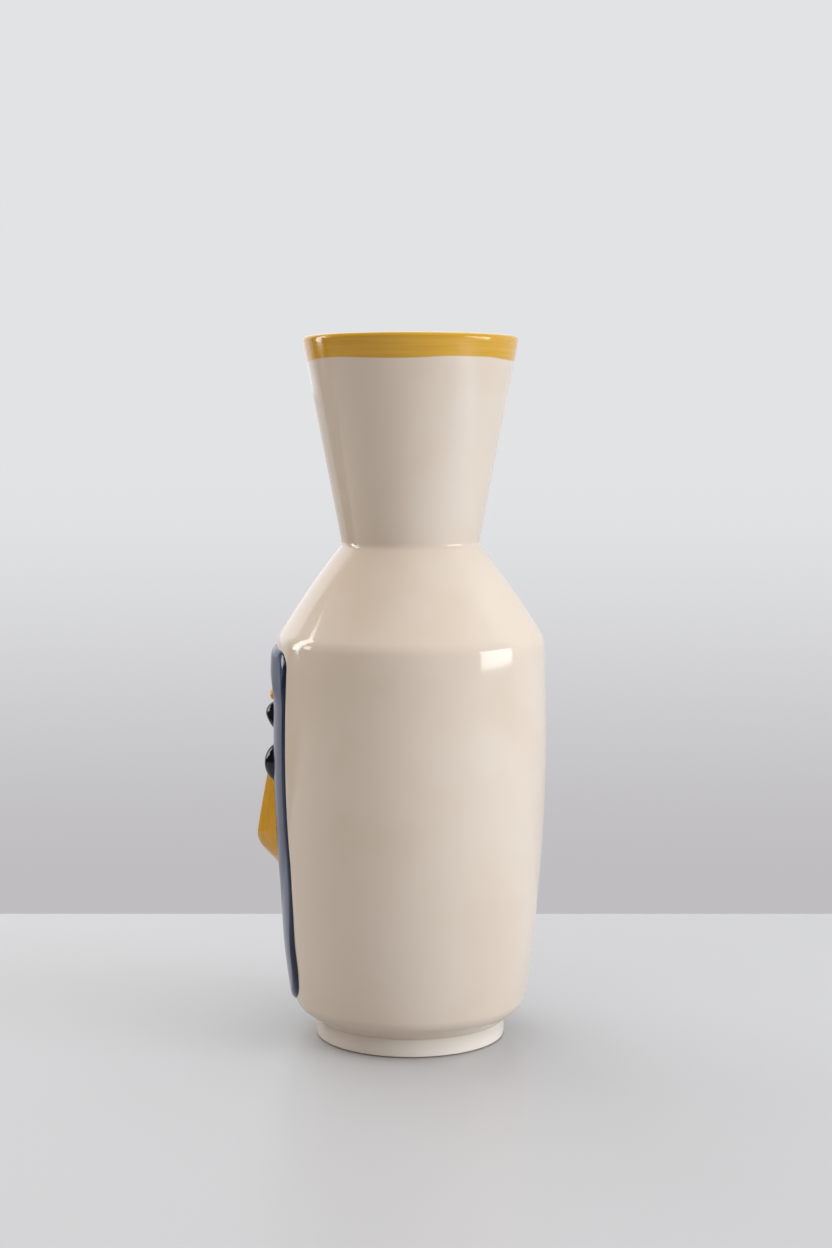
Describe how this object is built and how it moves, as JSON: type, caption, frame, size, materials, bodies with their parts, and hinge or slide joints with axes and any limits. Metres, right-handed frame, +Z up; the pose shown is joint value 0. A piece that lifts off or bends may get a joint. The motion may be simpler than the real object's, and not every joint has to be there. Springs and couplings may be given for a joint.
{
  "type": "face vase",
  "caption": "Tall glazed ceramic flower vase with a flared cone neck, sloping shoulder, low foot ring and an applied relief face framed by a blue band.",
  "frame": {"origin": "centre of the foot ring's bearing face", "axes": "+Z up the axis of the vase, -Y towards the face's front, +X towards the face's own left side"},
  "size_m": [0.1204, 0.1332, 0.31],
  "materials": {
    "cream_glaze": "glossy cream glaze over slip-cast ceramic",
    "cream_glaze_yellow_rim": "glossy cream glaze with a brushed golden yellow band round the outside of the rim",
    "cream_glaze_foot": "glossy cream glaze, wiped off the bearing face",
    "blue_glaze": "glossy brushed blue glaze, darker where it pools at the edges",
    "yellow_glaze": "glossy brushed golden yellow glaze",
    "black_glaze": "glossy blue-black glaze"
  },
  "bodies": {
    "root": {"body_shell": "cream_glaze", "neck_collar": "cream_glaze_yellow_rim", "foot_ring": "cream_glaze_foot", "face_surround": "blue_glaze", "forehead_band": "blue_glaze", "nose": "yellow_glaze", "brow_left": "yellow_glaze", "brow_right": "yellow_glaze", "eye_left": "black_glaze", "eye_right": "black_glaze", "lid_left": "black_glaze", "lid_right": "black_glaze", "upper_lip": "yellow_glaze", "lower_lip": "yellow_glaze"}
  },
  "joints": []
}
